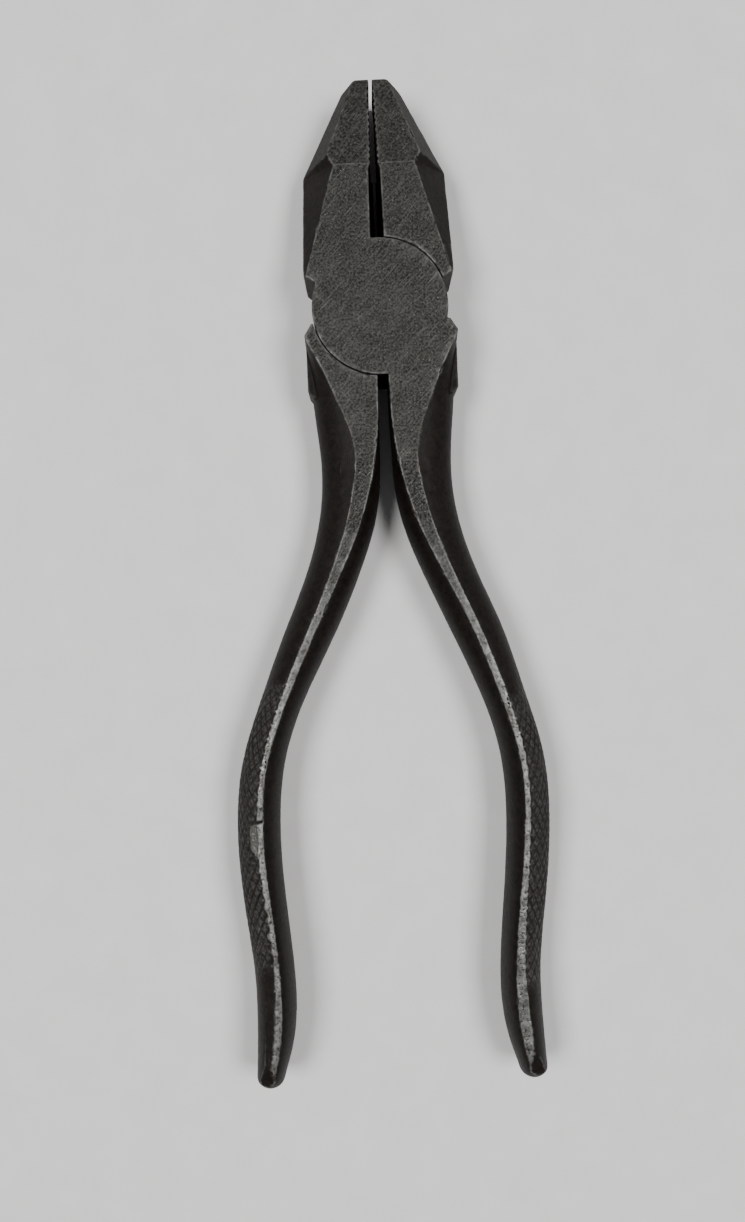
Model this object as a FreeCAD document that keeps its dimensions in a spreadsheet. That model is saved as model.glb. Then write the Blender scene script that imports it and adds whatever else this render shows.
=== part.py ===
"""Side-cutting lineman pliers, nominal 8 inch, as a parametric FreeCAD document.

Three pieces: two forged halves that cross in a lap joint, and the rivet that pins them.
Millimetres. The origin is where the rivet's axis meets the plane the pliers lie on:
+Y runs along the closed jaws, +Z up through the thickness, +X to the side.

Both halves are designed in one pose: jaw on the -X side, handle on the +X side, joint disc
in the upper layer, jaws shut. The upper half keeps that pose. The lower half is turned
half a turn about the Y axis through mid thickness, which puts its disc in the lower layer.
Last, each half is turned a little about the rivet, because the pliers rest slightly open.
"""
import FreeCAD, Part
import os

import Sketcher

Vector = FreeCAD.Vector

doc = FreeCAD.newDocument("lineman_pliers")
sheet = doc.addObject("Spreadsheet::Sheet", "Dimensions")

DIMENSIONS = {
    # whole tool
    "thickness": 12.7,
    "rest_angle": 0.45,          # degrees that each half is open at rest
    # lap joint
    "disc_radius": 13.55,
    "arc_gap": 0.14,             # between a disc and the other half's pocket wall
    "lap_gap": 0.06,             # between the two discs
    "shoulder_inner_x": 13.0,    # jaw side stop, where it leaves the disc
    "shoulder_inner_y": 5.45,
    "shoulder_outer_x": 14.9,
    "shoulder_outer_y": 6.65,
    "jaw_side_y": 8.15,          # the jaw's side runs straight down from here
    "jaw_root_x": 11.0,          # the jaw blank ends inside the disc
    "jaw_root_y": 4.25,
    "stop_inner_x": 13.85,       # handle side stop
    "stop_inner_y": 3.2,
    "stop_outer_x": 15.3,
    "stop_outer_y": 5.5,
    # rivet
    "shank_radius": 4.0,
    "head_radius": 5.6,
    "head_depth": 1.6,
    "running_clearance": 0.04,
    # jaw
    "jaw_reach": 45.9,           # pivot to tip
    "jaw_corner_x": 14.25,       # widest point of the nose
    "jaw_corner_y": 28.7,
    "tip_half_width": 3.05,      # on the flat face
    "tip_blunt_width": 2.6,      # straight across the end of the tip
    "tip_side_x": 5.55,          # at mid thickness
    "tip_side_y": 44.5,
    "face_corner_x": 7.85,       # where the flat face meets the crease and the bevel
    "crease_y": 28.2,
    "nose_corner_x": 9.0,        # where the nose side meets the nose flat
    "nose_corner_y": 30.5,
    "tip_drop": 1.9,             # how far the nose flat falls from the crease to the tip
    "bevel_end_x": 14.3,         # where the bevel runs out, at the joint
    "bevel_end_y": 6.9,
    # mouth
    "grip_back_gap": 0.42,       # grip face to the closing plane, at its back end
    "grip_back_y": 28.5,
    "grip_tip_gap": -0.08,       # the tips meet just before the other surfaces would
    "tooth_pitch": 1.35,
    "tooth_depth": 0.32,
    "plain_tip": 1.0,            # least length left without teeth at the tip
    "slot_front_gap": 0.9,
    "slot_back_gap": 1.22,
    "slot_front_y": 27.3,
    "knife_back_y": 14.6,
    "knife_half_height": 2.1,
    "knife_edge_gap": 0.01,
    "knife_root": 0.3,           # how deep the knife is set into the wall of the slot
    # handles
    "oval_shoulder": 0.45,       # shape of the side curve between land and widest point
    "oval_drop": 0.13,
    "oval_belly": 0.5,
    "block_side_x": 15.15,       # the heavier block behind the stop
    "block_front_y": 4.0,
    "block_back_y": 16.0,
    "block_depth": 6.8,
    "block_width": 5.0,
    "block_taper": 0.15,         # the block is that much narrower at its back
    "block_corner_x": 1.1,       # its back corner is cut off slanting
    "block_corner_y": 1.3,
    "spread_start": 62.0,        # where the lower half's handle starts to stand further out
    "spread_length": 75.0,
    "lower_spread": 4.2,
    "handle_reach": 156.2,
    "end_centre_x": 23.2,
    "end_round_length": 6.7,
    "end_round_width": 4.5,
    "end_round_height": 7.3,
}

for row, (alias, length) in enumerate(DIMENSIONS.items(), start=1):
    sheet.set(f"A{row}", alias)
    sheet.set(f"B{row}", str(length))
    sheet.setAlias(f"B{row}", alias)
doc.recompute()


class Size:
    """A length with its value now and the spreadsheet expression it comes from."""

    def __init__(self, value, text):
        self.value = value
        self.text = text

    def _with(self, other, sign, value):
        text = other.text if isinstance(other, Size) else str(other)
        return Size(value, f"({self.text} {sign} {text})")

    def __add__(self, other):
        return self._with(other, "+", self.value + number(other))

    def __sub__(self, other):
        return self._with(other, "-", self.value - number(other))

    def __mul__(self, other):
        return self._with(other, "*", self.value * number(other))

    def __truediv__(self, other):
        return self._with(other, "/", self.value / number(other))

    def __neg__(self):
        return Size(-self.value, f"(-1 * {self.text})")


def number(size):
    return size.value if isinstance(size, Size) else float(size)


def dim(alias):
    """The spreadsheet cell of that name."""
    return Size(float(sheet.get(alias)), f"Dimensions.{alias}")


def value(alias):
    """The number in that cell."""
    return number(dim(alias))


def bind(obj, **sizes):
    """Bind properties of an object to the sheet. Two underscores stand for a dot."""
    for name, size in sizes.items():
        text = size.text if isinstance(size, Size) else str(size)
        obj.setExpression(name.replace("__", "."), text)


def origin_plane(body, role):
    return next(item for item in body.Origin.OriginFeatures if item.Role == role)


def plane_sketch(body, name, role, offset=0.0):
    sketch = body.newObject("Sketcher::SketchObject", name)
    sketch.AttachmentSupport = (origin_plane(body, role), [""])
    sketch.MapMode = "FlatFace"
    sketch.AttachmentOffset = FreeCAD.Placement(Vector(0, 0, offset), FreeCAD.Rotation())
    return sketch


def polygon(sketch, corners):
    """A closed outline whose every corner is bound to the sheet."""
    points = [Vector(number(x), number(y), 0) for x, y in corners]
    count = len(points)
    for index in range(count):
        sketch.addGeometry(Part.LineSegment(points[index], points[(index + 1) % count]), False)
    for index in range(count):
        following = (index + 1) % count
        sketch.addConstraint(Sketcher.Constraint("Coincident", index, 2, following, 1))
    for index, corner in enumerate(corners):
        for kind, size in zip(("DistanceX", "DistanceY"), corner):
            rule = Sketcher.Constraint(kind, -1, 1, index, 1, number(size))
            place = sketch.addConstraint(rule)
            if isinstance(size, Size):
                sketch.setExpression(f"Constraints[{place}]", size.text)


THICKNESS = dim("thickness")
MID = THICKNESS * 0.5
MARGIN = 1.0                     # how far a cutting tool runs past what it cuts
TOOL = 80.0                      # edge of a cutter that only has to be large


def facet_cutter(name, points, inside):
    """A large block with one face through three points, on the side away from inside."""
    first, second, third = (Vector(*point) for point in points)
    along = (second - first).normalize()
    normal = along.cross(third - first).normalize()
    if normal.dot(Vector(*inside) - first) > 0:
        normal = -normal
    across = normal.cross(along)
    block = doc.addObject("Part::Box", name)
    block.Length = block.Width = block.Height = TOOL
    turn = FreeCAD.Rotation(along, across, normal, "ZXY")
    block.Placement = FreeCAD.Placement(first - (along + across) * (TOOL / 2), turn)
    return block


def boolean(kind, name, base, tool):
    result = doc.addObject(kind, name)
    result.Base = base
    result.Tool = tool
    return result


def union(name, shapes):
    result = doc.addObject("Part::MultiFuse", name)
    result.Shapes = shapes
    return result


def jaw_outline():
    """Plan of the jaw at mid thickness, with the toothed grip face and the cutter slot."""
    reach = dim("jaw_reach")
    grip_start = dim("grip_back_y")
    corners = [
        (-dim("grip_tip_gap"), reach),
        (-dim("tip_blunt_width"), reach),
        (-dim("tip_side_x"), dim("tip_side_y")),
        (-dim("jaw_corner_x"), dim("jaw_corner_y")),
        (-dim("shoulder_outer_x"), dim("jaw_side_y")),
        (-dim("shoulder_outer_x"), dim("shoulder_outer_y")),
        (-dim("shoulder_inner_x"), dim("shoulder_inner_y")),
        (-dim("jaw_root_x"), dim("jaw_root_y")),
        (-dim("slot_back_gap"), dim("jaw_root_y")),
        (-dim("slot_back_gap"), dim("disc_radius")),
        (-dim("slot_front_gap"), dim("slot_front_y")),
        (-dim("grip_back_gap"), grip_start),
    ]
    grip_length = number(reach) - number(grip_start)
    teeth = int((grip_length - value("plain_tip")) / value("tooth_pitch"))
    lean = (value("grip_back_gap") - value("grip_tip_gap")) / grip_length
    for tooth in range(teeth):
        root = dim("tooth_pitch") * (tooth + 0.5)
        crest = dim("tooth_pitch") * (tooth + 1.0)
        corners.append((root * lean - dim("grip_back_gap") - dim("tooth_depth"), grip_start + root))
        corners.append((crest * lean - dim("grip_back_gap"), grip_start + crest))
    return corners


def jaw_facets(prefix, upper):
    """Cutters for the nose taper, the nose sides and the long bevels, on one flat side."""
    top = number(THICKNESS)
    mid = number(MID)

    def level(drop):
        return top - drop if upper else drop

    reach = value("jaw_reach")
    crease = value("crease_y")
    inside = (-value("face_corner_x") / 2, value("nose_corner_y"), mid)
    tip_drop = value("tip_drop")
    nose_drop = tip_drop * (value("nose_corner_y") - crease) / (reach - crease)
    face_corner = (-value("face_corner_x"), crease, level(0))
    nose_corner = (-value("nose_corner_x"), value("nose_corner_y"), level(nose_drop))
    tip_corner = (-value("tip_half_width"), reach, level(tip_drop))
    side_corner = (-value("jaw_corner_x"), value("jaw_corner_y"), mid)
    bevel_end = (-value("bevel_end_x"), value("bevel_end_y"), level(0))

    nose_flat = facet_cutter(prefix + "_nose_flat", [
        (0, crease, level(0)),
        (-1, crease, level(0)),
        (0, reach, level(tip_drop)),
    ], inside)
    nose_side = facet_cutter(prefix + "_nose_side", [tip_corner, nose_corner, side_corner], inside)
    bevel = facet_cutter(prefix + "_bevel_plane", [face_corner, bevel_end, side_corner], inside)
    nose_stop = facet_cutter(prefix + "_bevel_stop", [face_corner, nose_corner, side_corner],
                             (inside[0], reach, mid))
    bevel_cut = boolean("Part::Common", prefix + "_bevel", bevel, nose_stop)
    return [nose_flat, nose_side, bevel_cut]


def jaw(name):
    """One jaw: nose with a toothed grip face, cutter slot with its knife, bevelled back."""
    body = doc.addObject("PartDesign::Body", name + "_jaw_blank")
    outline = plane_sketch(body, name + "_jaw_outline", "XY_Plane")
    polygon(outline, jaw_outline())
    blank = body.newObject("PartDesign::Pad", name + "_jaw_pad")
    blank.Profile = outline
    bind(blank, Length=THICKNESS)

    # The XZ plane looks along -Y, so the knife's sketch is set back by a negative offset.
    knife_sketch = plane_sketch(body, name + "_knife_profile", "XZ_Plane")
    bind(knife_sketch, AttachmentOffset__Base__z=-dim("slot_front_y"))
    root = -dim("slot_back_gap") - dim("knife_root")
    polygon(knife_sketch, [
        (-dim("knife_edge_gap"), MID),
        (root, MID + dim("knife_half_height")),
        (root, MID - dim("knife_half_height")),
    ])
    knife = body.newObject("PartDesign::Pad", name + "_knife")
    knife.Profile = knife_sketch
    bind(knife, Length=dim("slot_front_y") - dim("knife_back_y"))
    doc.recompute()

    facets = union(name + "_facets", jaw_facets(name + "_top", True)
                   + jaw_facets(name + "_bottom", False))
    return boolean("Part::Cut", name + "_jaw", body, facets)


# Sections across the handle, from the joint to the end: distance below the rivet, inner and
# outer side at mid thickness, and the inner and outer edge of the flat ground land.
HANDLE_SECTIONS = [
    (3.0, 0.9, 15.3, 0.9, 15.0),
    (9.0, 0.9, 15.0, 0.9, 13.5),
    (14.5, 0.9, 14.5, 0.95, 10.8),
    (21.0, 0.9, 13.9, 1.0, 8.1),
    (28.0, 0.95, 13.2, 1.6, 6.0),
    (35.0, 1.2, 13.1, 3.0, 6.5),
    (43.0, 2.6, 14.2, 5.4, 8.3),
    (53.0, 6.1, 17.2, 9.8, 11.8),
    (65.0, 11.2, 21.9, 15.3, 16.8),
    (77.0, 16.2, 25.4, 19.5, 21.0),
    (90.0, 19.9, 28.7, 23.0, 24.3),
    (104.0, 20.6, 29.4, 23.4, 24.7),
    (120.0, 19.3, 27.8, 21.5, 23.1),
    (134.0, 17.9, 26.0, 20.1, 22.2),
    (144.0, 18.0, 25.9, 20.4, 22.7),
    (150.0, 19.2, 26.1, 21.5, 23.5),
    (157.5, 21.2, 26.8, 23.0, 24.8),
]


def spread_at(distance, spread):
    """How far out a handle that was sprung open by `spread` stands at that distance."""
    start, length = value("spread_start"), value("spread_length")
    share = min(max((distance - start) / length, 0.0), 1.0)
    return spread * share * (2.0 - share)


def handle_section(body, name, distance, inner, outer, land_inner, land_outer):
    """An oval cut off flat at both faces of the pliers, as a closed sketch of four edges."""
    top, mid = number(THICKNESS), number(MID)
    sketch = plane_sketch(body, name, "XZ_Plane", distance)

    def side(land, widest):
        """From the top land round the widest point to the bottom land."""
        shoulder = land + (widest - land) * value("oval_shoulder")
        drop = mid * value("oval_drop")
        belly = mid * value("oval_belly")
        poles = [
            Vector(land, top),
            Vector(shoulder, top - drop),
            Vector(widest, mid + belly),
            Vector(widest, mid),
            Vector(widest, mid - belly),
            Vector(shoulder, drop),
            Vector(land, 0),
        ]
        curve = Part.BSplineCurve()
        curve.buildFromPolesMultsKnots(poles, [4, 3, 4], [0.0, 1.0, 2.0], False, 3)
        return curve

    sketch.addGeometry([
        Part.LineSegment(Vector(land_inner, top), Vector(land_outer, top)),
        side(land_outer, outer),
        Part.LineSegment(Vector(land_outer, 0), Vector(land_inner, 0)),
        side(land_inner, inner),
    ], False)
    return sketch


def handle(name, spread):
    """A handle lofted through its sections, with the stop at the joint and a rounded end."""
    body = doc.addObject("PartDesign::Body", name + "_handle_blank")
    sketches = []
    for index, (distance, *edges) in enumerate(HANDLE_SECTIONS):
        shift = spread_at(distance, spread)
        edges = [edge + shift for edge in edges]
        sketches.append(handle_section(body, f"{name}_section_{index}", distance, *edges))
    doc.recompute()
    loft = body.newObject("PartDesign::AdditiveLoft", name + "_handle_loft")
    loft.Profile = sketches[0]
    loft.Sections = sketches[1:]
    doc.recompute()

    half_depth = dim("block_depth") * 0.5
    plan = plane_sketch(body, name + "_block_plan", "XY_Plane")
    bind(plan, AttachmentOffset__Base__z=MID - half_depth)
    block_side, block_back = dim("block_side_x"), -dim("block_back_y")
    polygon(plan, [
        (block_side - dim("block_width"), -dim("block_front_y")),
        (block_side, -dim("block_front_y")),
        (block_side - dim("block_taper"), block_back),
        (block_side - dim("block_corner_x"), block_back - dim("block_corner_y")),
        (block_side - dim("block_width"), block_back - dim("block_corner_y")),
    ])
    block = body.newObject("PartDesign::Pad", name + "_block")
    block.Profile = plan
    bind(block, Length=dim("block_depth"))
    doc.recompute()

    mid = number(MID)
    stop = facet_cutter(name + "_stop_face", [
        (value("stop_inner_x"), -value("stop_inner_y"), 0),
        (value("stop_outer_x"), -value("stop_outer_y"), 0),
        (value("stop_inner_x"), -value("stop_inner_y"), mid),
    ], (0, -value("handle_reach"), mid))

    last = dim("handle_reach") - dim("end_round_length")
    centre = dim("end_centre_x") + spread_at(number(last), spread)
    beyond = doc.addObject("Part::Box", name + "_beyond_end")
    bind(beyond, Length=TOOL, Width=TOOL, Height=TOOL, Placement__Base__x=centre - TOOL / 2,
         Placement__Base__y=-last - TOOL, Placement__Base__z=MID - TOOL / 2)
    rounding = doc.addObject("Part::Ellipsoid", name + "_end_rounding")
    bind(rounding, Radius1=dim("end_round_height"), Radius2=dim("end_round_width"),
         Radius3=dim("end_round_length"), Placement__Base__x=centre,
         Placement__Base__y=-last, Placement__Base__z=MID)
    end_waste = boolean("Part::Cut", name + "_end_waste", beyond, rounding)
    waste = union(name + "_handle_waste", [stop, end_waste])
    return boolean("Part::Cut", name + "_handle", body, waste)


def rivet_hole(name, clearance):
    """The bore and the countersink in the upper face, as one cutting tool."""
    bore = doc.addObject("Part::Cylinder", name + "_bore")
    bind(bore, Radius=dim("shank_radius") + clearance, Height=THICKNESS + MARGIN * 2,
         Placement__Base__z=-MARGIN)
    flare = (dim("head_radius") - dim("shank_radius")) / dim("head_depth")
    sink = doc.addObject("Part::Cone", name + "_countersink")
    bind(sink, Radius1=dim("shank_radius") + clearance,
         Radius2=dim("head_radius") + clearance + flare * MARGIN,
         Height=dim("head_depth") + MARGIN, Placement__Base__z=THICKNESS - dim("head_depth"))
    return union(name + "_rivet_hole", [bore, sink])


def half(name, spread, clearance, turned, rest_turn):
    """A whole forged half. It keeps a disc in one layer and clears the other half's disc."""
    forging = union(name + "_forging", [jaw(name), handle(name, spread)])
    disc_floor = MID + dim("lap_gap") * 0.5
    pocket = doc.addObject("Part::Cylinder", name + "_lap_pocket")
    bind(pocket, Radius=dim("disc_radius") + dim("arc_gap"), Height=disc_floor + MARGIN,
         Placement__Base__z=-MARGIN)
    lapped = boolean("Part::Cut", name + "_lapped", forging, pocket)
    disc = doc.addObject("Part::Cylinder", name + "_disc")
    bind(disc, Radius=dim("disc_radius"), Height=THICKNESS - disc_floor,
         Placement__Base__z=disc_floor)
    whole = union(name + "_whole", [lapped, disc])
    whole.Refine = True
    piece = boolean("Part::Cut", name, whole, rivet_hole(name, clearance))
    piece.Label = name
    turn = FreeCAD.Rotation(Vector(0, 0, 1), rest_turn)
    if turned:
        turn = turn * FreeCAD.Rotation(Vector(0, 1, 0), 180)
    base = Vector(0, 0, number(THICKNESS) if turned else 0)
    piece.Placement = FreeCAD.Placement(base, turn)
    return piece


def rivet():
    """A solid rivet, set into both countersinks and ground flush with both faces."""
    body = doc.addObject("PartDesign::Body", "pivot_rivet")
    body.Label = "pivot_rivet"
    profile = plane_sketch(body, "rivet_profile", "XZ_Plane")
    polygon(profile, [
        (0, 0),
        (dim("head_radius"), 0),
        (dim("shank_radius"), dim("head_depth")),
        (dim("shank_radius"), THICKNESS - dim("head_depth")),
        (dim("head_radius"), THICKNESS),
        (0, THICKNESS),
    ])
    turned = body.newObject("PartDesign::Revolution", "rivet_turned")
    turned.Profile = profile
    turned.ReferenceAxis = (profile, ["V_Axis"])
    turned.Angle = 360.0
    return body


pieces = [
    half("upper_half", 0.0, dim("running_clearance"), False, value("rest_angle")),
    half("lower_half", value("lower_spread"), 0.0, True, -value("rest_angle")),
    rivet(),
]
doc.recompute()

for item in doc.Objects:
    if "Invalid" in item.State or "Error" in item.State:
        raise RuntimeError(f"{item.Name} failed: {item.State}")

os.makedirs("parts", exist_ok=True)
for piece in pieces:
    shape = piece.Shape
    if shape.isNull() or not shape.isValid() or len(shape.Solids) != 1:
        raise RuntimeError(f"{piece.Label} isn't one valid solid")
    shape.exportStep(f"parts/{piece.Label}.step")
    box = shape.BoundBox
    print(f"{piece.Label}: {shape.Volume:.0f} mm3, X {box.XMin:.2f} to {box.XMax:.2f}, "
          f"Y {box.YMin:.2f} to {box.YMax:.2f}, Z {box.ZMin:.2f} to {box.ZMax:.2f}")
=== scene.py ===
"""Old forged lineman pliers, lying on a pale floor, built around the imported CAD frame.

Both halves are remeshed finely from their CAD solids, so that worn edges, the checkered
grips, the scalloped lands and the uneven forging are real shape. The mesh work is done in
millimetres, and everything else is in metres.
"""
import math

import bmesh
import bpy
import numpy as np
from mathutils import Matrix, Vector, bvhtree, kdtree


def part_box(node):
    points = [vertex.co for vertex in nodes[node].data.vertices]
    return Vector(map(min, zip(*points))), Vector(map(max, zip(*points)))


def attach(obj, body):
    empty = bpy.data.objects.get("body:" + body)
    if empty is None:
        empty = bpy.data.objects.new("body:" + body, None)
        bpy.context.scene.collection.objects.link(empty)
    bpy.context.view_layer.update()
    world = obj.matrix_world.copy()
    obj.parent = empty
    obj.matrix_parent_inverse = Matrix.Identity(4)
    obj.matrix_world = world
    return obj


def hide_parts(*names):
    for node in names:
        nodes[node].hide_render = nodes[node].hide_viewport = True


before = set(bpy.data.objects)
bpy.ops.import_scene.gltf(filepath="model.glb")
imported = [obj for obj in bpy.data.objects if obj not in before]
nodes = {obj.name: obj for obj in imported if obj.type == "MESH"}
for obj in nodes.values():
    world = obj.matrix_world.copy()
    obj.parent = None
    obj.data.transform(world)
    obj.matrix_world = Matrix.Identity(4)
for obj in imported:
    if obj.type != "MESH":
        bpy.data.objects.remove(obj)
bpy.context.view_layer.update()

MM = 0.001
boxes = [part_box(name) for name in ("upper_half", "lower_half")]
LOW = np.min([box[0] for box in boxes], axis=0) / MM
TOP = max(box[1][2] for box in boxes) / MM     # upper flat face
MID = TOP / 2
HEAD_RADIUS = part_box("pivot_rivet")[1][0] / MM
HEAD_DEPTH = 1.6                           # the rivet's head tapers at 45 degrees over this
BORE_GAP = 0.015                           # between the rivet and the halves
LAP_CLEARANCE = 0.03                       # each disc stops this far from mid thickness
UPPER_DISC = (MID + LAP_CLEARANCE, TOP)
LOWER_DISC = (0.0, MID - LAP_CLEARANCE)

# Mesh work, in millimetres
VOXEL = 0.17
PLUG_MARGIN = 1.0                          # how far the plug that fills the bore reaches past it
FLAT_DEPTH = 0.02                          # vertices this near a flat face belong to it
FACE_LIMIT = 100_000                       # triangles left in each half by thinning out
LONGEST_EDGE = 0.8                         # flat areas are then divided again down to this
DIVIDING_ROUNDS = 3
SHARP_ANGLE = math.radians(38)
EDGE_ROUNDS = 2                            # smoothing passes that break the sharp edges
SIDE_ROUNDS = 40                           # passes that even out the curved handle sides

# Checkering on the outer side of each handle, in millimetres
DIAMOND_LENGTH, DIAMOND_WIDTH = 2.9, 1.5
GROOVE_DEPTH = 0.24
GROOVE_SHARE = 0.5                         # of the pitch that a groove takes
SECTION_RADIUS = 5.4                       # mean radius of the handle's outer side

# Wear and uneven forging: depths in millimetres
SCALLOP = 0.35                             # how far a groove's end bites into the land
DING_DEPTH = 0.11
FORGED_WAVES, FORGED_GRAIN = 0.022, 0.014
SKIN_LOSS = 0.02                           # keeps the uneven skin inside the CAD box
END_DROP = 0.7                             # how far the flat faces fall at the handle's end
CRACK_DEPTH, CRACK_WIDTH = 0.30, 0.28      # the line across the land above the rubbed spot

# Distances below the rivet, in millimetres
CREASE = -28.2                             # the nose slopes down beyond this line
JOINT_END = 8.0                            # the handle's own shape begins here
NECK_END = 29.0                            # the head's flat face runs into the land here
LAND_END = 149.5
GRIPS = {"upper": (77.0, 137.0), "lower": (75.0, 132.0)}

# How far wear has moved the outer edge of the land inward: (distance, millimetres)
LAND_WEAR = {
    "upper": ((0, 0.0), (145, 0.0), (150, 0.9), (156, 2.0)),
    "lower": ((0, 0.0), (112, 0.0), (123, 0.55), (131, 0.95), (150, 0.95), (156, 2.0)),
}
WORN_SPOT = (101.0, 110.5)                 # a wide rubbed place on the lower half's land
SPOT_START, SPOT_SLOPE = 0.35, 0.40        # its facet: start inside the land's edge, and fall


# ---------------------------------------------------------------- mesh helpers

def mesh_arrays(mesh):
    """A mesh's vertex coordinates, and the two vertices of each edge."""
    coords = np.empty(len(mesh.vertices) * 3)
    mesh.vertices.foreach_get("co", coords)
    edges = np.empty(len(mesh.edges) * 2, int)
    mesh.edges.foreach_get("vertices", edges)
    return coords.reshape(-1, 3), edges.reshape(-1, 2)


def set_coords(mesh, coords):
    mesh.vertices.foreach_set("co", coords.ravel())
    mesh.update()


def normals_of(mesh):
    normals = np.empty(len(mesh.vertices) * 3)
    mesh.vertices.foreach_get("normal", normals)
    return normals.reshape(-1, 3)


def neighbour_mean(values, edges):
    """The mean over each vertex's neighbours, of one value or of a row of values."""
    table = values.reshape(len(values), -1)
    first, second = edges[:, 0], edges[:, 1]
    count = np.bincount(first, minlength=len(table)) + np.bincount(second, minlength=len(table))
    total = np.empty_like(table)
    for column in range(table.shape[1]):
        ends = table[:, column]
        total[:, column] = (np.bincount(first, ends[second], len(table))
                            + np.bincount(second, ends[first], len(table)))
    return (total / np.maximum(count, 1)[:, None]).reshape(values.shape)


def smoothed(coords, edges, weight, rounds):
    for _ in range(rounds):
        coords = coords + (neighbour_mean(coords, edges) - coords) * weight[:, None]
    return coords


def smooth_step(low, high, value):
    share = np.clip((value - low) / (high - low), 0.0, 1.0)
    return share * share * (3.0 - 2.0 * share)


def value_noise(points, size, seed):
    """Smooth repeatable noise from -1 to 1 with features about `size` millimetres across."""
    places = points / size
    cell = np.floor(places).astype(np.int64)
    part = places - cell
    part = part * part * (3.0 - 2.0 * part)
    total = np.zeros(len(points))
    for corner in range(8):
        step = np.array([corner & 1, (corner >> 1) & 1, (corner >> 2) & 1])
        key = (cell + step) * np.array([73856093, 19349663, 83492791]) + seed * 2654435761
        mixed = (key[:, 0] ^ key[:, 1] ^ key[:, 2]) & 0xFFFFFFFF
        mixed = (mixed * 1103515245 + 12345) & 0x7FFFFFFF
        mixed = (mixed ^ (mixed >> 13)) * 60493 & 0x7FFFFFFF
        value = mixed / 0x3FFFFFFF - 1.0
        share = np.where(step == 1, part, 1.0 - part).prod(axis=1)
        total += value * share
    return total


def evaluated(obj, modifiers):
    """Apply modifiers to an object. Its old mesh is removed, and the new one returned."""
    for kind, settings in modifiers:
        modifier = obj.modifiers.new(kind, kind)
        for name, value in settings.items():
            setattr(modifier, name, value)
    graph = bpy.context.evaluated_depsgraph_get()
    mesh = bpy.data.meshes.new_from_object(obj.evaluated_get(graph))
    obj.modifiers.clear()
    old = obj.data
    obj.data = mesh
    bpy.data.meshes.remove(old)
    return mesh


def add_tube(bm, profile, segments=128):
    """A closed solid of revolution about Z from (radius, height) corners."""
    rings = []
    for radius, height in profile:
        rings.append([bm.verts.new((radius * math.cos(turn), radius * math.sin(turn), height))
                      for turn in (2 * math.pi * step / segments for step in range(segments))])
    for lower, upper in zip(rings, rings[1:]):
        for step in range(segments):
            after = (step + 1) % segments
            bm.faces.new((lower[step], lower[after], upper[after], upper[step]))
    bm.faces.new(rings[0][::-1])
    bm.faces.new(rings[-1])


def linked(name, data):
    """A new object in the scene, for a mesh, a light or a camera."""
    obj = bpy.data.objects.new(name, data)
    bpy.context.scene.collection.objects.link(obj)
    return obj


# ---------------------------------------------------------------- the two halves

def remeshed_half(name, node, plug):
    """The CAD solid as an even, fine mesh in millimetres, with the rivet hole filled."""
    mesh = node.data.copy()
    bm = bmesh.new()
    bm.from_mesh(mesh)
    bmesh.ops.scale(bm, vec=(1 / MM,) * 3, verts=bm.verts)
    bmesh.ops.remove_doubles(bm, verts=bm.verts, dist=1e-4)
    surface = bvhtree.BVHTree.FromBMesh(bm)
    plug_radius = HEAD_RADIUS + PLUG_MARGIN
    add_tube(bm, [(plug_radius, height) for height in plug])
    bm.to_mesh(mesh)
    bm.free()
    obj = linked(name, mesh)
    mesh = evaluated(obj, [("REMESH", {"mode": "VOXEL", "voxel_size": VOXEL})])
    coords, edges = mesh_arrays(mesh)
    filled = np.hypot(coords[:, 0], coords[:, 1]) < plug_radius
    for index in np.flatnonzero(~filled):
        place, _, _, distance = surface.find_nearest(Vector(coords[index]))
        if distance < 2 * VOXEL:
            coords[index] = place
    for height in plug:
        coords[filled & (np.abs(coords[:, 2] - height) < VOXEL), 2] = height
    set_coords(mesh, coords)
    return obj, coords, edges


def handle_frame(coords, side):
    """Where each vertex lies on its handle, in millimetres.

    along: length along the handle. around: distance round the section from mid thickness.
    down, out: straight distance below the rivet, and out to the handle's side of it.
    edge: distance inward from the land's outer edge.
    """
    out = coords[:, 0] * side
    down = -coords[:, 1]
    bins = np.clip(np.round(down).astype(int), 0, int(-LOW[1]) + 1)
    size = bins.max() + 1
    inner, outer = np.full(size, np.inf), np.full(size, -np.inf)
    on_handle = (down > JOINT_END) & (out > 0)
    np.minimum.at(inner, bins[on_handle], out[on_handle])
    np.maximum.at(outer, bins[on_handle], out[on_handle])
    flat = on_handle & (coords[:, 2] > TOP - FLAT_DEPTH)
    land_in, land_out = np.full(size, np.inf), np.full(size, -np.inf)
    np.minimum.at(land_in, bins[flat], out[flat])
    np.maximum.at(land_out, bins[flat], out[flat])
    rows = np.arange(size)

    def filled(table):
        good = np.isfinite(table)
        table = np.interp(rows, rows[good], table[good])
        return np.convolve(np.pad(table, 3, mode="edge"), np.ones(7) / 7, mode="valid")

    inner, outer, land_in, land_out = map(filled, (inner, outer, land_in, land_out))
    centre = (inner + outer) / 2
    length = np.concatenate([[0.0], np.cumsum(np.hypot(1.0, np.diff(centre)))])
    middle = np.interp(down, rows, (land_in + land_out) / 2)
    lean = np.interp(down, rows, np.gradient(centre))
    stretch = np.hypot(1.0, lean)
    across = (out - middle) / stretch
    return {
        "along": np.interp(down, rows, length) + (out - middle) * lean / stretch,
        "around": np.arctan2(coords[:, 2] - MID, across) * SECTION_RADIUS,
        "down": down,
        "out": out,
        "edge": (np.interp(down, rows, land_out) - out) / stretch,
    }


def groove(phase):
    """Depth from 0 to 1 of a V groove, one per unit of phase."""
    away = np.abs(phase - np.round(phase)) * 2.0
    return np.clip(1.0 - away / GROOVE_SHARE, 0.0, 1.0)


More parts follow.
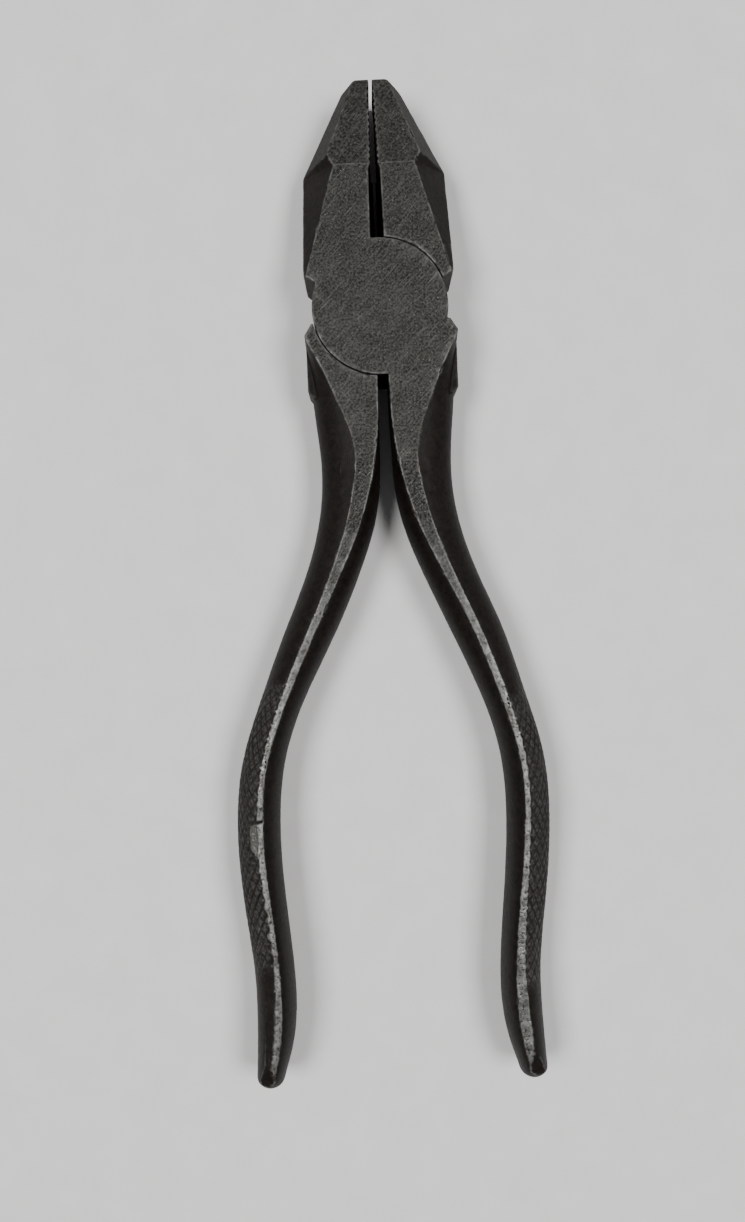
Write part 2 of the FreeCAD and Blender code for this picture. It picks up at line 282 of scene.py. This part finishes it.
def checkering(place, limits, seed):
    """How deep the diamond checkering is at each vertex, from 0 to 1, and where it is."""
    unrolled = np.stack([place["along"], place["around"], np.zeros(len(place["down"]))], 1)
    wobble = 0.05 * value_noise(unrolled, 9.0, seed)
    first = place["along"] / DIAMOND_LENGTH + place["around"] / DIAMOND_WIDTH + wobble
    second = place["along"] / DIAMOND_LENGTH - place["around"] / DIAMOND_WIDTH - wobble
    ragged = place["down"] + 2.0 * value_noise(unrolled, 4.0, seed + 5)
    extent = (smooth_step(limits[0] - 2, limits[0] + 5, ragged)
              * (1 - smooth_step(limits[1] - 8, limits[1] + 3, ragged)))
    wear = 0.75 + 0.25 * value_noise(unrolled, 6.0, seed + 6)
    return np.maximum(groove(first), groove(second)), extent * wear


def bulge_of(coords, edges, normals):
    """How sharply convex the surface is at each vertex, as height over one voxel."""
    bulge = -((neighbour_mean(coords, edges) - coords) * normals).sum(axis=1) / VOXEL
    for _ in range(2):
        bulge = 0.5 * bulge + 0.5 * neighbour_mean(bulge, edges)
    return bulge


def rubbed_spot(coords, place):
    """The lower half's wide rubbed spot: where it is, its mask, and how high it leaves the land."""
    down, edge = place["down"], place["edge"]
    upper_side = coords[:, 2] > MID
    window = (smooth_step(WORN_SPOT[0] - 0.4, WORN_SPOT[0] + 1.0, down)
              * (1 - smooth_step(WORN_SPOT[1] - 5.0, WORN_SPOT[1] + 1.0, down)))
    facet = TOP / 2 - SPOT_SLOPE * (SPOT_START - edge) + 0.7 * (1 - window)
    on_spot = (window > 0.01) & upper_side & (edge < SPOT_START)
    mask = on_spot * smooth_step(-0.06, 0.02, np.abs(coords[:, 2] - MID) - facet) * window
    return on_spot, mask, facet


def crack_depth(coords, place):
    """Depth of the curved line across the land, at the rubbed spot's upper end."""
    off = place["down"] - WORN_SPOT[0] + 0.12 * place["edge"] * place["edge"]
    on_land = (np.abs(place["edge"]) < 1.3) * (coords[:, 2] > MID)
    return CRACK_DEPTH * np.exp(-(off / CRACK_WIDTH) ** 2) * on_land


def wear_land(coords, place, which, nick, seed):
    """Wear down the outer edge of the land, nicked by the ends of the checkering.

    Gives the new coordinates, and a mask of the lower half's wide rubbed spot.
    """
    uneven = 0.5 + 0.5 * value_noise(coords, 2.3, seed + 3)
    retreat = np.interp(place["down"], *zip(*LAND_WEAR[which])) + 0.12 + 0.22 * uneven
    past = np.clip(retreat + nick * SCALLOP - place["edge"], 0.0, 3.0)
    height = np.abs(coords[:, 2] - MID)
    ceiling = TOP / 2 - past * (0.30 + 0.10 * uneven)
    spot = np.zeros(len(coords))
    if which == "lower":
        on_spot, spot, facet = rubbed_spot(coords, place)
        ceiling = np.where(on_spot, np.minimum(facet, TOP / 2), ceiling)
        ceiling = ceiling - crack_depth(coords, place)
    end = smooth_step(LAND_END - 3.0, LAND_END + 7.0, place["down"])
    ceiling = ceiling - END_DROP * end * end
    on_handle = (place["down"] > NECK_END) & (place["out"] > 0)
    lowered = np.where(on_handle, np.minimum(height, ceiling), height)
    coords = coords.copy()
    coords[:, 2] = MID + np.sign(coords[:, 2] - MID) * lowered
    return coords, spot * on_handle


def marks_of(coords, edges, normals, place, depth, grip, spot, seed):
    """What the material needs to know at each vertex, each from 0 to 1."""
    deep = np.minimum(coords[:, 2], TOP - coords[:, 2])
    facing = smooth_step(0.93, 0.985, np.abs(normals[:, 2]))
    on_nose = place["down"] < CREASE + 1.0
    ground = facing * np.where(on_nose, 1.0, smooth_step(0.14, 0.06, deep))
    land_start = NECK_END + 1.5 * value_noise(coords, 3.0, seed + 7)
    land = ground * smooth_step(-1.0, 2.0, place["down"] - land_start) * (place["out"] > 0)
    worn = smooth_step(0.018, 0.060, bulge_of(coords, edges, normals))
    return {
        "ground": np.maximum(ground, spot),
        "land": np.maximum(land, spot),
        "spot": spot,
        "worn": worn * (0.25 + 0.75 * smooth_step(3.0, 1.0, deep)),
        "groove": depth,
        "grip": grip,
        "reach": np.clip(place["down"] / 160.0, 0.0, 1.0),
    }


def shape_half(name, node, body, which, plug, seed):
    """One finished half: remeshed, worn, checkered, and bored for the rivet."""
    side = 1.0 if which == "upper" else -1.0
    obj, coords, edges = remeshed_half(name, node, plug)
    mesh = obj.data
    flat = (coords[:, 2] > TOP - FLAT_DEPTH) | (coords[:, 2] < FLAT_DEPTH)
    place = handle_frame(coords, side)
    on_handle = smooth_step(16.0, 24.0, place["down"]) * (place["out"] > 0)
    rounded_end = smooth_step(148.0, 152.0, place["down"])

    coords = smoothed(coords, edges, np.full(len(coords), 0.5), EDGE_ROUNDS)
    even = 0.5 * np.maximum(~flat, rounded_end) * on_handle
    coords = smoothed(coords, edges, even, SIDE_ROUNDS)
    set_coords(mesh, coords)
    normals = normals_of(mesh)

    depth, extent = checkering(place, GRIPS[which], seed)
    coords, spot = wear_land(coords, place, which, depth * extent, seed)
    sideways = smooth_step(0.05, 0.40, normals[:, 0] * side) * (1 - spot)
    cut = depth * extent * sideways * GROOVE_DEPTH
    dings = smooth_step(0.02, 0.06, bulge_of(coords, edges, normals)) * (1 - extent)
    cut += DING_DEPTH * dings * smooth_step(0.15, 0.75, value_noise(coords, 1.9, seed + 4))
    forged = (FORGED_WAVES * value_noise(coords, 3.1, seed + 1)
              + FORGED_GRAIN * value_noise(coords, 1.3, seed + 2) - SKIN_LOSS) * (1 - flat)
    coords = coords + normals * (forged - cut)[:, None]
    coords[:, 2] = np.clip(coords[:, 2], 0.0, TOP)
    coords = smoothed(coords, edges, np.full(len(coords), 0.25), 1)
    set_coords(mesh, coords)

    marks = marks_of(coords, edges, normals_of(mesh), place, depth * extent * sideways,
                     smooth_step(0.05, 0.5, extent) * sideways, spot, seed)
    finish_half(obj, coords, marks, plug)
    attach(obj, body)
    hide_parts(node.name)
    return obj


def divide_long_edges(mesh):
    """Split the long triangles of flat areas, so that the marks don't smear across them."""
    bm = bmesh.new()
    bm.from_mesh(mesh)
    bmesh.ops.triangulate(bm, faces=bm.faces)
    for _ in range(DIVIDING_ROUNDS):
        long_edges = [edge for edge in bm.edges if edge.calc_length() > LONGEST_EDGE]
        bmesh.ops.subdivide_edges(bm, edges=long_edges, cuts=1)
        bmesh.ops.triangulate(bm, faces=[face for face in bm.faces if len(face.verts) > 3])
    bm.to_mesh(mesh)
    bm.free()


def bore_cutter(name, upward):
    """The rivet's shape with a little air round it, for the half that it enters from there."""
    outer, away = (TOP, 1.0) if upward else (0.0, -1.0)
    shank = HEAD_RADIUS - HEAD_DEPTH + BORE_GAP
    profile = [
        (shank, MID - away * 3.0),
        (shank, outer - away * (HEAD_DEPTH - BORE_GAP)),
        (HEAD_RADIUS + BORE_GAP + 1.0, outer + away),
    ]
    bm = bmesh.new()
    add_tube(bm, profile if upward else profile[::-1])
    bmesh.ops.recalc_face_normals(bm, faces=bm.faces)
    cutter = linked(name, bpy.data.meshes.new(name))
    bm.to_mesh(cutter.data)
    bm.free()
    return cutter


def finish_half(obj, coords, marks, plug):
    """Thin out the mesh, bore the rivet hole, carry the marks over and go to metres."""
    tree = kdtree.KDTree(len(coords))
    for index, place in enumerate(coords):
        tree.insert(place, index)
    tree.balance()
    triangles = sum(len(polygon.vertices) - 2 for polygon in obj.data.polygons)
    ratio = min(1.0, FACE_LIMIT / triangles)
    evaluated(obj, [("TRIANGULATE", {}), ("DECIMATE", {"ratio": ratio})])

    cutter = bore_cutter(obj.name + "_bore", plug == UPPER_DISC)
    boring = {"object": cutter, "operation": "DIFFERENCE", "solver": "EXACT"}
    mesh = evaluated(obj, [("BOOLEAN", boring)])
    bpy.data.objects.remove(cutter)

    divide_long_edges(mesh)
    coords, _ = mesh_arrays(mesh)
    nearest = np.array([tree.find(place)[1] for place in coords])
    for name, values in marks.items():
        layer = mesh.attributes.new(name, "FLOAT", "POINT")
        layer.data.foreach_set("value", values[nearest].astype(np.float32))
    set_coords(mesh, coords * MM)
    mesh.shade_smooth()
    mesh.set_sharp_from_angle(angle=SHARP_ANGLE)


# ---------------------------------------------------------------- materials

class Shader:
    """A short way to write a material's nodes."""

    def __init__(self, name):
        self.material = bpy.data.materials.new(name)
        self.material.use_nodes = True
        self.tree = self.material.node_tree
        self.surface = self.tree.nodes["Principled BSDF"]
        self.place = self.node("ShaderNodeTexCoord").outputs["Object"]

    def node(self, kind, inputs=None, **settings):
        node = self.tree.nodes.new(kind)
        for name, value in settings.items():
            setattr(node, name, value)
        for name, value in (inputs or {}).items():
            self.feed(node.inputs[name], value)
        return node

    def feed(self, socket, value):
        if isinstance(value, bpy.types.NodeSocket):
            self.tree.links.new(value, socket)
        else:
            socket.default_value = value

    def attribute(self, name):
        return self.node("ShaderNodeAttribute", attribute_name=name).outputs["Fac"]

    def math(self, operation, first, second=0.0, third=0.0, clamp=False):
        inputs = {0: first, 1: second, 2: third}
        node = self.node("ShaderNodeMath", inputs, operation=operation, use_clamp=clamp)
        return node.outputs[0]

    def spread(self, turn=0.0, scale=(1, 1, 1)):
        """The object's coordinates in millimetres, turned about Z and stretched."""
        node = self.node("ShaderNodeMapping", {"Vector": self.place}, vector_type="TEXTURE")
        node.inputs["Rotation"].default_value[2] = turn
        node.inputs["Scale"].default_value = [MM * part for part in scale]
        return node.outputs[0]

    def noise(self, vector, scale=1.0, detail=3.0, rough=0.55):
        inputs = {"Vector": vector, "Scale": scale, "Detail": detail, "Roughness": rough}
        return self.node("ShaderNodeTexNoise", inputs).outputs["Fac"]

    def ramp(self, value, low, high, start=0.0, end=1.0):
        inputs = {0: value, 1: low, 2: high, 3: start, 4: end}
        return self.node("ShaderNodeMapRange", inputs).outputs[0]

    def mix(self, share, first, second):
        node = self.node("ShaderNodeMix", data_type="RGBA")
        self.feed(node.inputs[0], share)
        self.feed(node.inputs[6], first)
        self.feed(node.inputs[7], second)
        return node.outputs[2]

    def blend(self, share, first, second):
        node = self.node("ShaderNodeMix", data_type="FLOAT")
        self.feed(node.inputs[0], share)
        self.feed(node.inputs[2], first)
        self.feed(node.inputs[3], second)
        return node.outputs[0]

    def bump(self, height):
        inputs = {"Height": height, "Distance": BUMP_HEIGHT, "Strength": 0.6}
        return self.node("ShaderNodeBump", inputs).outputs[0]

    def use(self, **values):
        for name, value in values.items():
            self.feed(self.surface.inputs[name.replace("_", " ")], value)


BLACK_OXIDE = (0.0030, 0.0026, 0.0024, 1)
BROWN_OXIDE = (0.0110, 0.0072, 0.0056, 1)
GROUND_DARK = (0.013, 0.0125, 0.0115, 1)
GROUND_GREY = (0.078, 0.076, 0.070, 1)
GROUND_LIGHT = (0.21, 0.207, 0.197, 1)
DULL_STEEL = (0.17, 0.168, 0.160, 1)
BARE_STEEL = (0.27, 0.267, 0.256, 1)
PIT_DARK = (0.012, 0.011, 0.010, 1)
FLOOR_COLOURS = (0.70, 0.69, 0.675, 1), (0.74, 0.73, 0.715, 1)
BUMP_HEIGHT = 0.06 * MM


def ground_face(shader, plain, fine):
    """Colour and height of a ground face: mottled grey, crossed by diagonal scratches."""
    blotch = shader.noise(plain, 0.22, 3.0, 0.5)
    scratch_a = shader.noise(shader.spread(math.radians(44), (5.0, 0.13, 1)), 1.0, 2.0, 0.7)
    scratch_b = shader.noise(shader.spread(math.radians(57), (3.0, 0.10, 1)), 1.0, 2.0, 0.7)
    scratch = shader.math("MAXIMUM", shader.ramp(scratch_a, 0.58, 0.72),
                          shader.ramp(scratch_b, 0.61, 0.76))
    cells = shader.node("ShaderNodeTexVoronoi", {"Vector": plain, "Scale": 1.1})
    share = shader.noise(plain, 0.55, 2.0, 0.5)
    pit = shader.math("MULTIPLY", shader.ramp(cells.outputs["Distance"], 0.30, 0.12),
                      shader.ramp(share, 0.46, 0.60))
    specks = shader.ramp(shader.noise(plain, 3.4, 2.0, 0.5), 0.66, 0.74)

    tone = shader.math("MULTIPLY_ADD", blotch, 0.2, fine)
    colour = shader.mix(shader.ramp(tone, 0.47, 0.80), GROUND_DARK, GROUND_GREY)
    colour = shader.mix(shader.math("MULTIPLY", scratch, 0.45), colour, GROUND_LIGHT)
    colour = shader.mix(shader.math("MULTIPLY", specks, 0.8), colour, GROUND_LIGHT)
    colour = shader.mix(shader.math("MULTIPLY", pit, 0.75), colour, PIT_DARK)
    height = shader.math("MULTIPLY_ADD", fine, 1.1, shader.math("MULTIPLY", scratch, -0.4))
    return colour, shader.math("SUBTRACT", height, pit)


def rivet_steel():
    """The rivet's face was ground together with the halves, so it looks like them."""
    shader = Shader("rivet_face_steel")
    plain = shader.spread()
    fine = shader.noise(plain, 2.2, 4.0, 0.65)
    colour, height = ground_face(shader, plain, fine)
    shader.use(Base_Color=colour, Metallic=0.5, Roughness=shader.ramp(fine, 0.3, 0.7, 0.44, 0.62),
               Normal=shader.bump(height), Specular_IOR_Level=0.25)
    return shader.material


def tool_steel():
    """Black oxide on the forged skin, grey ground faces, and bright wear, by mesh marks."""
    shader = Shader("worn_tool_steel")
    plain = shader.spread()
    fine = shader.noise(plain, 2.2, 4.0, 0.65)
    coarse = shader.noise(plain, 0.8, 3.0, 0.6)
    speckle = shader.noise(plain, 1.5, 3.0, 0.6)
    ground, land, spot, worn, grooved, grip, reach = map(
        shader.attribute, ("ground", "land", "spot", "worn", "groove", "grip", "reach"))

    skin = shader.mix(shader.ramp(shader.math("ADD", fine, coarse), 0.80, 1.25),
                      BLACK_OXIDE, BROWN_OXIDE)
    crest = shader.math("MULTIPLY", grip, shader.math("SUBTRACT", 1.0, grooved))
    rubbed = shader.math("MULTIPLY", crest, shader.ramp(speckle, 0.46, 0.70, 0.03, 0.22))
    skin = shader.mix(rubbed, skin, GROUND_LIGHT)

    face, face_height = ground_face(shader, plain, fine)

    polished = shader.ramp(reach, 0.26, 0.52)
    smudge = shader.noise(plain, 0.45, 3.0, 0.6)
    land_pit = shader.math("MULTIPLY", shader.ramp(speckle, 0.50, 0.62), polished)
    bright = shader.mix(shader.ramp(smudge, 0.36, 0.64), GROUND_GREY, BARE_STEEL)
    bright = shader.mix(shader.ramp(fine, 0.40, 0.25, 0.0, 0.5), bright, GROUND_GREY)
    bright = shader.mix(polished, face, bright)
    bright = shader.mix(shader.math("MULTIPLY", land_pit, 0.75), bright, PIT_DARK)
    bright = shader.mix(shader.math("MULTIPLY", spot, 0.85), bright, GROUND_GREY)

    patchy = shader.ramp(shader.noise(plain, 0.6, 4.0, 0.7), 0.38, 0.62, 0.1, 1.0)
    edge = shader.math("MULTIPLY", worn, patchy, clamp=True)
    edge = shader.math("MULTIPLY", edge, shader.ramp(grip, 0.0, 1.0, 0.8, 0.12))
    forward = shader.node("ShaderNodeSeparateXYZ", {0: shader.place}).outputs["Y"]
    off_crease = shader.math("ABSOLUTE", shader.math("ADD", forward, CREASE * MM))
    line = shader.ramp(off_crease, 0.20 * MM, 0.05 * MM, 0.0, 0.7)
    crease = shader.math("MULTIPLY", line, patchy)
    edge = shader.math("MAXIMUM", edge, shader.math("MULTIPLY", crease, ground))

    colour = shader.mix(ground, skin, face)
    colour = shader.mix(land, colour, bright)
    colour = shader.mix(edge, colour, DULL_STEEL)
    rough_face = shader.ramp(fine, 0.3, 0.7, 0.44, 0.62)
    rough = shader.blend(ground, shader.ramp(fine, 0.3, 0.7, 0.42, 0.60), rough_face)
    rough = shader.blend(land, rough, shader.ramp(fine, 0.3, 0.7, 0.26, 0.44))
    metal = shader.blend(ground, 0.0, 0.5)
    metal = shader.blend(shader.math("MAXIMUM", land, edge), metal, 0.85)

    skin_height = shader.math("MULTIPLY_ADD", coarse, 1.6, fine)
    height = shader.blend(ground, skin_height, face_height)
    height = shader.math("SUBTRACT", height, shader.math("MULTIPLY", land_pit, land))
    shader.use(Base_Color=colour, Metallic=metal, Roughness=rough,
               Normal=shader.bump(height), Specular_IOR_Level=0.12)
    return shader.material


def floor_material():
    shader = Shader("pale_floor")
    grain = shader.noise(shader.spread(), 0.12, 3.0, 0.5)
    colour = shader.mix(shader.ramp(grain, 0.3, 0.7), *FLOOR_COLOURS)
    shader.use(Base_Color=colour, Roughness=0.85)
    return shader.material


# ---------------------------------------------------------------- the object

upper = shape_half("upper_half_worn", nodes["upper_half"], "upper_body", "upper", UPPER_DISC, 11)
lower = shape_half("lower_half_worn", nodes["lower_half"], "lower_body", "lower", LOWER_DISC, 29)
forged = tool_steel()
for piece in (upper, lower):
    piece.data.materials.clear()
    piece.data.materials.append(forged)

nodes["pivot_rivet"].material_slots[0].material = rivet_steel()


# ---------------------------------------------------------------- floor, light, camera

FLOOR_REACH = 3.0
FLOOR_GAP = 0.00002                        # air between the floor and the pliers
LIT_PLACE = Vector((0.0, -0.055, 0.006))


def area_light(name, place, power):
    data = bpy.data.lights.new(name, "AREA")
    data.shape = "RECTANGLE"
    data.size, data.size_y = 0.5, 0.35
    data.energy = power
    light = linked(name, data)
    light.location = place
    light.rotation_euler = (LIT_PLACE - Vector(place)).to_track_quat("-Z", "Y").to_euler()


floor = linked("floor", bpy.data.meshes.new("floor"))
corners = [(x * FLOOR_REACH, y * FLOOR_REACH, 0) for x, y in ((-1, -1), (1, -1), (1, 1), (-1, 1))]
floor.data.from_pydata(corners, [], [(0, 1, 2, 3)])
floor.location.z = float(LOW[2]) * MM - FLOOR_GAP
floor.data.materials.append(floor_material())

area_light("left_soft", (-0.50, -0.05, 0.85), 8.5)
area_light("right_soft", (0.50, -0.08, 0.85), 8.0)

world = bpy.data.worlds.new("studio")
world.use_nodes = True
background = world.node_tree.nodes["Background"]
background.inputs["Color"].default_value = (0.92, 0.94, 0.96, 1)
background.inputs["Strength"].default_value = 0.16
bpy.context.scene.world = world

CAMERA_PLACE = (-0.00411, -0.06022, 0.188)
CAMERA_TURN = math.radians(-2.5)
camera_data = bpy.data.cameras.new("camera")
camera_data.sensor_width = 36.0
camera_data.lens = 26.16
camera_data.clip_start = 0.01
camera = linked("camera", camera_data)
camera.location = CAMERA_PLACE
camera.rotation_euler = (0, 0, CAMERA_TURN)
bpy.context.scene.camera = camera
